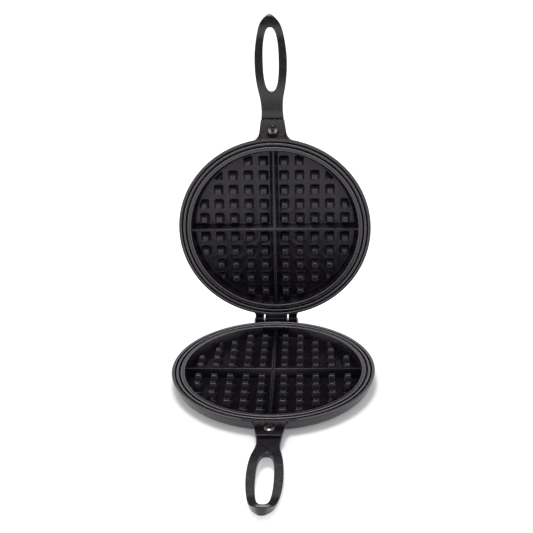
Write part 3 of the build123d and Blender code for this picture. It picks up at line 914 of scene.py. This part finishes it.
def wear_and_painted_light_at(x, y, z, sizes, shade_paint):
    """Wear with painted highlight, and painted shade, of a plate at one place in its own frame."""
    radius, drop = hypot(x, y), sizes.lug_drop
    # painted shade beyond the rim: full in the hinge crevice and the screw's head recess, and over the
    # ramp on to the lug, where it hides a highlight
    if radius > sizes.rim_radius + SLIVER:
        to_screw = hypot(x, y + sizes.rim_radius + sizes.screw_reach)
        in_seat = to_screw < HEAD_RECESS_RADIUS + SEAT_MARGIN and z < -drop - SLIVER
        ramp_end = sizes.rim_radius + RAMP_SPREAD * sizes.ramp_reach
        on_ramp = radius < ramp_end and z > -drop - 3 * SLIVER
        return 0.0, SEAT_SHADE if y > 0 or in_seat else RAMP_SHADE * shade_paint * on_ramp
    # painted sheen: the flank and outer face are lightened a little
    if z < -sizes.recess_depth - SLIVER or (radius > sizes.recess_radius and z < -drop - MM):
        return FLANK_SHEEN, 0.0
    # pegs and dividers: wear with painted sheen on their tops, painted highlight along their top edges,
    # painted shade down their sides and on the floor
    if radius < sizes.floor_radius - MM:
        on_divider = min(abs(x), abs(y)) < sizes.divider_base / 2
        tall = sizes.divider_height if on_divider else sizes.peg_height
        below = (tall - sizes.recess_depth - z) / MM
        wear = TOP_WEAR_AND_SHEEN if below < TOP_SKIN else min(max(1.0 - below, 0.0), EDGE_WEAR_AND_HIGHLIGHT)
        return wear, shade_paint * (1.0 if below > EDGE_DEPTH else TOP_SHADE)
    wear_and_highlight, painted_shade = 0.0, 0.0
    # painted shade down the recess wall
    if radius < sizes.recess_radius and z < -MM:
        painted_shade = WALL_SHADE + shade_paint
    # painted highlight along the rounded edges of the lands, with wear and sheen on their flat tops
    if z > -4 * SLIVER:
        beside_lug = y < 0 and abs(x) < LUG_SPREAD * sizes.lug_root_width
        at_lug = beside_lug and radius > sizes.rim_radius - LUG_INSET
        wear_and_highlight = LAND_WEAR_AND_SHEEN if z > -LAND_SKIN or at_lug else 1.0
    # painted shade down the walls and floor of the drip grooves
    for inner, outer in grooves(sizes):
        if inner - SLIVER < radius < outer + SLIVER:
            painted_shade = min(max((-z / MM - GROOVE_UNSHADED) / GROOVE_FADE, 0.0), GROOVE_SHADE)
    return wear_and_highlight, painted_shade


def cast_plate(body, sizes, axis_level, outlines, shade_paint):
    """One plate: disc, hinge leaves, lug, dividers, pegs and holes, with its marks for wear, painted
    highlights and painted shade.
    """
    plate = plate_disc(f"{body}_casting", sizes)
    leaves, lug = hinge_leaves(sizes, axis_level, outlines), lug_parts(sizes)
    dividers = [divider_bar(sizes, axes) for axes in (ALONG_X, ALONG_Y)]
    combine(plate, "UNION", *leaves, *lug, *dividers, peg_field(sizes))
    combine(plate, "DIFFERENCE", screw_mouth(sizes))
    mark_wear_and_painted_light(plate, sizes, shade_paint)
    if body == "base":
        combine(plate, "UNION", heel_block(sizes))
    plate.data.transform(plate_frame(body))
    bore = cylinder("bore", BORE_RADIUS, -BORE_REACH, BORE_REACH, 48)
    bore.data.transform(along_hinge())
    combine(plate, "DIFFERENCE", bore)
    dress(plate, "seasoned_cast_iron", "cast_iron", body, f"{body}_plate")


def heel_block(sizes):
    """Block behind the knuckle on which the open lid's lip comes to rest."""
    foot = sizes.rim_radius - sizes.lip_inset + STOP_GAP
    corner = Vector((foot + STOP_DEPTH, -sizes.lip_height))
    axis = Vector((sizes.hinge_offset, sizes.closed_gap + sizes.hinge_drop))
    side = [
        (sizes.rim_radius + STOP_GAP, 0), (foot, -sizes.lip_height), corner,
        touching(corner, axis, sizes.knuckle_radius), axis,
    ]
    block = prism("heel", side, -sizes.knuckle_width / 2, sizes.knuckle_width / 2, ALONG_X)
    block.data.transform(plate_frame("base").inverted() @ plate_frame("lid"))
    soften(block, CASTING_ROUND)
    return block


class WAFFLE_OT_plates(bpy.types.Operator):
    """Base and lid castings: dished discs with drip grooves, pegs, dividers, lugs and hinge"""

    bl_idname = "waffle.plates"
    bl_label = "Grid plates"

    def execute(self, context):
        sizes, colours = context.scene.waffle_plates, context.scene.waffle_colours
        half, beyond = sizes.knuckle_width / 2, sizes.hinge_offset + 2 * sizes.knuckle_radius
        knuckle = flared_outline(sizes, HINGE_ROOT_DEPTH, 0.0, half, beyond, KNUCKLE_FLARE)
        inner = half + sizes.ear_gap
        ear = flared_outline(sizes, HINGE_ROOT_DEPTH, inner, inner + sizes.ear_width, beyond, EAR_FLARE)
        ears = [ear, [(-x, y) for x, y in reversed(ear)]]
        cast_plate("base", sizes, -sizes.hinge_drop, [mirrored(knuckle)], colours.base_painted_shade)
        cast_plate("lid", sizes, sizes.closed_gap + sizes.hinge_drop, ears, colours.lid_painted_shade)
        return {"FINISHED"}


# --- handles ---

FLAT = 6.0 * MM                 # thickness of a handle before it is bent
BEND_STEP = 1.5 * MM
HANDLE_ROUND = 1.0 * MM
NOSE_OFFSET, NOSE_FLAT = 6.0 * MM, 7.6 * MM
NOSE_ROUND, NOSE_BLEND = 7.2 * MM, 20.0 * MM
HUMP_OFFSET, DIP_OFFSET = 2.5 * MM, 2.0 * MM
SEAT_BEND, NECK_BEND, DIP_BEND = 30.0 * MM, 60.0 * MM, 25.0 * MM
SEAT_PLAY, POCKET_PLAY = 0.05 * MM, 0.2 * MM


def circle_through(first, middle, last):
    """Centre of the circle through three points."""
    one, two = middle - first, last - first
    across = 2 * (one.x * two.y - one.y * two.x)
    return first + Vector((
        (two.y * one.length_squared - one.y * two.length_squared) / across,
        (one.x * two.length_squared - two.x * one.length_squared) / across,
    ))


def swept(first, last, centre, steps):
    """Points from first to last round a centre, the shorter way."""
    start, end = first - centre, last - centre
    turn = atan2(start.x * end.y - start.y * end.x, start.dot(end))
    return [centre + Matrix.Rotation(turn * step / steps, 2) @ start for step in range(steps + 1)]


def level_at(line, along):
    """Height of a side line at a place along it."""
    for here, there in zip(line, line[1:]):
        if along <= there.x:
            return here.y + (there.y - here.y) * (along - here.x) / (there.x - here.x)
    return line[-1].y


def handle_top(sizes):
    return -sizes.lug_drop - sizes.lug_thickness - SEAT_PLAY


def bend_band(name, sizes, bolts, shape):
    """Flat band with soft edges, bent to its side lines and bored for the screw and nut."""
    start = sizes.rim_radius + shape.start
    seat_end = start + shape.seat_length
    eye_start = seat_end + shape.neck_length
    eye_end = eye_start + shape.eye_length
    middle, end = (eye_start + eye_end) / 2, eye_end + shape.tip_length
    band = prism(name, handle_outline(sizes, shape, start, eye_start, eye_end, end), 0, FLAT, ALONG_Z)
    combine(band, "DIFFERENCE", prism("eye", handle_eye(shape, middle), -MM, FLAT + MM, ALONG_Z))
    soften(band, HANDLE_ROUND, 3, 60.0)
    top, dip = handle_top(sizes), shape.neck_rise - shape.dip_fall
    places = (
        (start, 0, sizes.seat_thickness, 0),
        (seat_end, 0, sizes.seat_thickness, SEAT_BEND),
        (eye_start + HUMP_OFFSET, shape.neck_rise, shape.neck_thickness, NECK_BEND),
        (eye_end - DIP_OFFSET, dip, shape.loop_thickness, DIP_BEND),
        (end, dip + shape.tip_rise, shape.tip_thickness, 0),
    )
    upper = rounded([(along, top + rise, bend) for along, rise, thick, bend in places], 12)
    lower = rounded([(along, top + rise - thick, bend) for along, rise, thick, bend in places], 12)
    form = bmesh.new()
    form.from_mesh(band.data)
    station = start + BEND_STEP
    while station < end:
        everything = form.verts[:] + form.edges[:] + form.faces[:]
        bmesh.ops.bisect_plane(form, geom=everything, plane_co=(0, -station, 0), plane_no=(0, 1, 0))
        station += BEND_STEP
    for vertex in form.verts:
        along, height = -vertex.co.y, vertex.co.z / FLAT
        low, high = level_at(lower, along), level_at(upper, along)
        ahead = max(0.0, (along - middle) / (end - middle))
        vertex.co.x *= 1 - shape.nose_draft * ahead**2 * (1 - height)
        vertex.co.z = low + (high - low) * height
    form.to_mesh(band.data)
    form.free()
    under = top - sizes.seat_thickness
    bore = cylinder("bore", SCREW_HOLE_RADIUS, under - MM, top + MM, 48)
    sides = hexagon(bolts.nut_across + POCKET_PLAY)
    pocket = prism("pocket", sides, under - MM, under + bolts.nut_pocket, ALONG_Z)
    for tool in (bore, pocket):
        tool.data.transform(at_screw(sizes))
    combine(band, "DIFFERENCE", bore, pocket)
    return band


def handle_outline(sizes, shape, start, eye_start, eye_end, end):
    """Outline from above, with its waist, its bowed loop and its rounded nose."""
    waist = Vector((sizes.rim_radius + sizes.lug_length, sizes.seat_width / 2))
    neck = Vector((eye_start, shape.neck_width / 2))
    widest = Vector(((eye_start + eye_end) / 2 + HUMP_OFFSET, shape.loop_width / 2))
    tip = Vector((eye_end, shape.tip_width / 2))
    centre = circle_through(neck, widest, tip)
    out, gap = (neck - centre).normalized(), waist - neck
    waist_centre = neck + out * gap.length_squared / 2 / out.dot(gap)
    nose = rounded([
        (*tip, 0), (eye_end + NOSE_OFFSET, shape.nose_width / 2, NOSE_BLEND),
        (end, NOSE_FLAT / 2, NOSE_ROUND), (end, 0, 0),
    ], 8)
    line = [(start, 0), (start, sizes.seat_width / 2), *swept(waist, neck, waist_centre, 16)]
    line += swept(neck, tip, centre, 40)[1:] + nose[1:]
    return mirrored([(half, -along) for along, half in line])


def handle_eye(shape, middle):
    """Oval opening of the loop, fuller than an ellipse."""
    def bow(value, size):
        return copysign(abs(value) ** (2 / shape.eye_fullness), value) * size / 2

    turns = [tau * (step + 0.5) / 72 for step in range(72)]
    return [
        (bow(cos(turn), shape.eye_width), -middle - bow(sin(turn), shape.eye_length))
        for turn in turns
    ]


class WAFFLE_OT_handles(bpy.types.Operator):
    """Loop handles: a bent band with an oval eye, screwed under each lug"""

    bl_idname = "waffle.handles"
    bl_label = "Handles"

    def execute(self, context):
        sizes, shape = context.scene.waffle_plates, context.scene.waffle_handles
        pivot = at_screw(sizes)
        for body, swing in (("base", shape.base_swing), ("lid", shape.lid_swing)):
            handle = bend_band(f"{body}_grip", sizes, context.scene.waffle_fasteners, shape)
            turned = pivot @ Matrix.Rotation(swing, 4, "Z") @ pivot.inverted()
            handle.data.transform(plate_frame(body) @ turned)
            dress(handle, "handled_cast_iron", "cast_iron", body, f"{body}_handle")
        return {"FINISHED"}


# --- fasteners ---

HEAD_ROUND, HEAD_EDGE, PIN_EDGE = 0.5 * MM, 0.15 * MM, 0.2 * MM
CROSS_FOOT, CROSS_FOOT_WIDTH, CROSS_ROUND = 2.2 * MM, 0.7 * MM, 0.1 * MM
PIT_DEEPER, CROSS_SHADE = 1.25, 0.9
SHADE_INSET, SHADE_DEPTH = 0.2 * MM, 0.6 * MM     # where painted shade begins in the cross recess
NECK_LENGTH, CUT_OVER = 0.6 * MM, 0.05 * MM
THREAD_STEEPNESS, THREAD_PLAY, PIN_HEAD_PLAY = 1.3, 0.05 * MM, 0.2 * MM
NUT_ROUND, BORE_CHAMFER = 0.12 * MM, 0.4 * MM


def threaded_rod(name, bolts, low, high, sides=24, steps_a_turn=6):
    """Rod with a right-hand thread that runs out at its tip and under the head."""
    pitch = bolts.thread_pitch
    steps = round((high - low) / pitch * steps_a_turn)
    rings = [[(0, 0, low)]]
    for step in range(steps + 1):
        z = low + (high - low) * step / steps
        tip, fade = max(0.0, 1.0 - (z - low) / pitch), min(1.0, (high - z) / pitch)
        rings.append([])
        for side in range(sides):
            phase = (z / pitch - side / sides) % 1.0
            hollow = max(0.0, 1.0 - THREAD_STEEPNESS * abs(2 * phase - 1))
            radius = bolts.screw_radius - bolts.thread_depth * max(hollow * fade, tip)
            turn = tau * side / sides
            rings[-1].append((radius * cos(turn), radius * sin(turn), z))
    return solid(name, rings + [[(0, 0, high)]])


def turn_screw(sizes, bolts):
    """Pan-head screw with a tapered cross recess, upright on its own axis."""
    seat, radius = -sizes.lug_drop - HEAD_RECESS_DEPTH, bolts.head_diameter / 2
    top, neck = seat + bolts.head_height, bolts.screw_radius - bolts.thread_depth
    crown = dome(radius, bolts.head_crown, top, 8)[1:]
    head = lathe("screw", rounded([
        (0, seat - NECK_LENGTH, 0), (neck, seat - NECK_LENGTH, 0), (neck, seat, 0),
        (radius, seat, HEAD_EDGE), (radius, top - bolts.head_crown, HEAD_ROUND), (*crown[0], 0),
    ], 6) + crown[1:], 48)
    over, foot = top + CUT_OVER, top - bolts.cross_depth
    ends = (bolts.cross_length, bolts.cross_width, over), (CROSS_FOOT, CROSS_FOOT_WIDTH, foot)
    corners = ((-1, -1), (1, -1), (1, 1), (-1, 1))
    arms = []
    for angle in (pi / 4, 3 * pi / 4):
        turn = Matrix.Rotation(angle, 3, "Z")
        arms.append(solid("arm", [
            [turn @ Vector((x * long / 2, y * wide / 2, level)) for x, y in corners]
            for long, wide, level in ends
        ]))
    pit = [
        (0, top - PIT_DEEPER * bolts.cross_depth), (CROSS_FOOT_WIDTH, foot),
        (bolts.cross_width, over), (0, over),
    ]
    combine(head, "DIFFERENCE", *arms, lathe("pit", pit, 24))
    soften(head, CROSS_ROUND, 2, 40.0)
    # painted shade: the deep part of the cross recess is marked for the near-black shade paint
    painted_shade = head.data.attributes.new("painted_shade", "FLOAT", "POINT")
    for index, vertex in enumerate(head.data.vertices):
        inside = hypot(*vertex.co.xy) < bolts.cross_length / 2 - SHADE_INSET
        painted_shade.data[index].value = CROSS_SHADE if inside and vertex.co.z < top - SHADE_DEPTH else 0.0
    rod = threaded_rod("rod", bolts, seat - bolts.screw_length, seat - NECK_LENGTH / 2)
    combine(head, "UNION", rod)
    return head


def cut_nut(sizes, bolts):
    """Hexagon nut, bevelled on its lower corners, on the same axis as its screw."""
    seat = handle_top(sizes) - sizes.seat_thickness + bolts.nut_pocket
    low, flat = seat - bolts.nut_height, bolts.nut_across / 2
    nut = prism("nut", hexagon(bolts.nut_across), low, seat, ALONG_Z)
    bevel = [(0, low), (flat, low), (flat + bolts.nut_height, seat), (0, seat)]
    combine(nut, "INTERSECT", lathe("bevel", bevel, 96))
    bore = bolts.screw_radius + THREAD_PLAY
    hole = [
        (0, low - MM), (bore + MM, low + BORE_CHAMFER - MM), (bore, low + BORE_CHAMFER),
        (bore, seat + MM), (0, seat + MM),
    ]
    combine(nut, "DIFFERENCE", lathe("hole", hole, 48))
    soften(nut, NUT_ROUND, 2, 25.0)
    return nut


def turn_pin(sizes, bolts):
    """Headed pin through the knuckle and both ears."""
    seat = sizes.knuckle_width / 2 + sizes.ear_gap + sizes.ear_width + PIN_HEAD_PLAY
    wide, tall = bolts.pin_head_radius, bolts.pin_head_height
    cap = dome(wide, tall, seat + tall, 10)[1:]
    shank = [(bolts.pin_radius, 0, 0), (bolts.pin_radius, seat, 0), (wide, seat, PIN_EDGE)]
    half = rounded([*shank, (*cap[0], 0)]) + cap[1:]
    pin = lathe("riveted_pin", [(x, -z) for x, z in reversed(half)] + half[1:], 48)
    pin.data.transform(along_hinge())
    dress(pin, "heat_darkened_steel", "hinge_steel", "base", "hinge_pin")


class WAFFLE_OT_fasteners(bpy.types.Operator):
    """Cross-head screws and nuts of the handles, and the domed hinge pin"""

    bl_idname = "waffle.fasteners"
    bl_label = "Screws, nuts and hinge pin"

    def execute(self, context):
        sizes, bolts = context.scene.waffle_plates, context.scene.waffle_fasteners
        for body in ("base", "lid"):
            pair = {"screw": turn_screw(sizes, bolts), "nut": cut_nut(sizes, bolts)}
            for kind, made in pair.items():
                made.name = f"{body}_{kind}"
                made.data.transform(plate_frame(body) @ at_screw(sizes))
                dress(made, "rubbed_plated_steel", "plated_steel", body, f"{body}_handle_{kind}")
        turn_pin(sizes, bolts)
        return {"FINISHED"}


# --- stage ---

CAMERA_PLACE = (0.03679, -0.86286, 0.49909)
CAMERA_RIGHT = Vector((0.99904, 0.03855, -0.02084))
CAMERA_DOWN = Vector((-0.00372, -0.39921, -0.91685))
CAMERA_AHEAD = Vector((-0.04366, 0.91605, -0.39869))
SENSOR_WIDTH, FAR_CLIP = 36.0, 100.0
LAMP_AIM = Vector((0.0, 0.05, 0.1))
BLACK = 0.01


def stage_sheet(name, corners, material):
    """Flat sheet of the studio, kept out of the object."""
    mesh = bpy.data.meshes.new(name)
    mesh.from_pydata(corners, [], [(0, 1, 2, 3)])
    mesh.materials.append(material)
    sheet = add_object(name, mesh)
    return sheet


def set_surroundings(scene, studio):
    world = bpy.data.worlds.new("studio")
    world.use_nodes = True
    world.node_tree.nodes.clear()
    start = Wire(world.node_tree)
    shown = seen_directly(start)
    strength = shown + (1.0 - shown) * studio.sky_level
    sky = start.node("ShaderNodeBackground", None, {"Color": grey(1.0), "Strength": strength})
    sky.node("ShaderNodeOutputWorld", None, {"Surface": sky})
    scene.world = world


def hang_lamp(studio):
    light = bpy.data.lights.new("soft_lamp", "AREA")
    light.shape, light.size, light.energy = "DISK", studio.lamp_size, studio.lamp_power
    lamp = add_object("soft_lamp", light)
    lamp.location = studio.lamp_place
    lamp.rotation_euler = (LAMP_AIM - lamp.location).to_track_quat("-Z", "Y").to_euler()


def hang_flags(studio):
    """Black cloths in front and above the backdrop, met only by reflections."""
    material, start = new_material("black_cloth", (BLACK,) * 3)
    finish_surface(start.node("ShaderNodeBsdfDiffuse", None, {"Color": grey(BLACK)}))
    half = studio.flag_width / 2
    flags = {"front_flag": studio.front_flag, "rear_flag": studio.rear_flag}
    for name, (depth, foot, top) in flags.items():
        corners = [(-half, depth, foot), (half, depth, foot), (half, depth, top), (-half, depth, top)]
        flag = stage_sheet(name, corners, material)
        flag.visible_camera = flag.visible_diffuse = flag.visible_shadow = False


def place_camera(scene, studio):
    turn = Matrix((CAMERA_RIGHT, -CAMERA_DOWN, -CAMERA_AHEAD)).transposed()
    data = bpy.data.cameras.new("camera")
    data.sensor_width, data.lens, data.clip_end = SENSOR_WIDTH, studio.lens, FAR_CLIP
    camera = add_object("camera", data)
    camera.matrix_world = Matrix.Translation(CAMERA_PLACE) @ turn.to_4x4()
    scene.camera = camera
    scene.view_settings.view_transform = "Standard"


class WAFFLE_OT_stage(bpy.types.Operator):
    """White floor, white surroundings, one soft lamp, two black cloths and the camera"""

    bl_idname = "waffle.stage"
    bl_label = "Studio"

    def execute(self, context):
        studio, scene = context.scene.waffle_studio, context.scene
        half = studio.floor_size / 2
        corners = [(-half, -half, 0), (half, -half, 0), (half, half, 0), (-half, half, 0)]
        stage_sheet("studio_floor", corners, floor_finish(studio))
        set_surroundings(scene, studio)
        hang_lamp(studio)
        hang_flags(studio)
        place_camera(scene, studio)
        return {"FINISHED"}


class WAFFLE_PT_sidebar(bpy.types.Panel):
    """Lists the settings and the steps that dress the waffle iron"""

    bl_idname = "WAFFLE_PT_sidebar"
    bl_label = "Waffle Iron"
    bl_space_type = "VIEW_3D"
    bl_region_type = "UI"
    bl_category = "Waffle Iron"

    def draw(self, context):
        for group in (getattr(context.scene, name) for name in GROUPS):
            box = self.layout.box()
            for name in group.__annotations__:
                box.prop(group, name)
        for operator in OPERATORS:
            self.layout.operator(operator.bl_idname)


GROUPS = {
    "waffle_plates": PlateSizes,
    "waffle_handles": HandleSizes,
    "waffle_fasteners": FastenerSizes,
    "waffle_colours": FinishColours,
    "waffle_studio": StudioSettings,
}
OPERATORS = (WAFFLE_OT_finishes, WAFFLE_OT_plates, WAFFLE_OT_handles, WAFFLE_OT_fasteners, WAFFLE_OT_stage)
CLASSES = (*GROUPS.values(), *OPERATORS, WAFFLE_PT_sidebar)


def register():
    for kind in CLASSES:
        bpy.utils.register_class(kind)
    for name, kind in GROUPS.items():
        setattr(bpy.types.Scene, name, bpy.props.PointerProperty(type=kind))


def unregister():
    for name in GROUPS:
        delattr(bpy.types.Scene, name)
    for kind in reversed(CLASSES):
        bpy.utils.unregister_class(kind)


def main():
    register()
    for operator in OPERATORS:
        group, name = operator.bl_idname.split(".")
        getattr(getattr(bpy.ops, group), name)()


if __name__ == "__main__":
    main()
